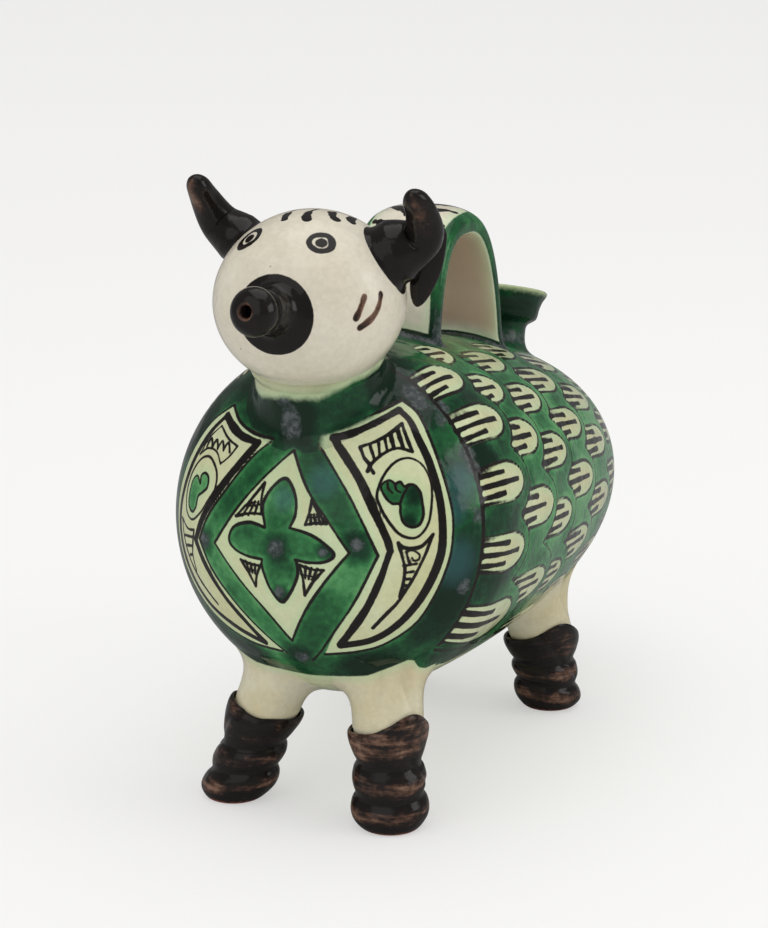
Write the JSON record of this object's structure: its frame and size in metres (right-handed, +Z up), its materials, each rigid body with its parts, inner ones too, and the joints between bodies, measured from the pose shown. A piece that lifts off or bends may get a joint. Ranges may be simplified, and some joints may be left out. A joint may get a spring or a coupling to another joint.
{
  "type": "animal-shaped pitcher",
  "caption": "Bull-shaped glazed earthenware pitcher on booted legs, with a strap handle over the back, a filling neck behind it and a pouring muzzle.",
  "frame": {"origin": "on the floor, under the middle of the whole object", "axes": "+Z up, the bull looks along -Y, its left side towards +X"},
  "size_m": [0.14, 0.3166, 0.2511],
  "materials": {
    "green_glaze": "glossy",
    "cream_glaze": "glossy",
    "manganese_glaze": "glossy"
  },
  "bodies": {
    "root": {"body_shell": "green_glaze", "neck_collar": "green_glaze", "head_shell": "cream_glaze", "muzzle_spout": "manganese_glaze", "handle_strap": "cream_glaze", "filler_neck": "green_glaze", "tail": "manganese_glaze", "horn_left": "manganese_glaze", "ear_left": "manganese_glaze", "horn_right": "manganese_glaze", "ear_right": "manganese_glaze", "leg_front_left": "cream_glaze", "boot_front_left": "manganese_glaze", "leg_front_right": "cream_glaze", "boot_front_right": "manganese_glaze", "leg_rear_left": "cream_glaze", "boot_rear_left": "manganese_glaze", "leg_rear_right": "cream_glaze", "boot_rear_right": "manganese_glaze"}
  },
  "joints": []
}
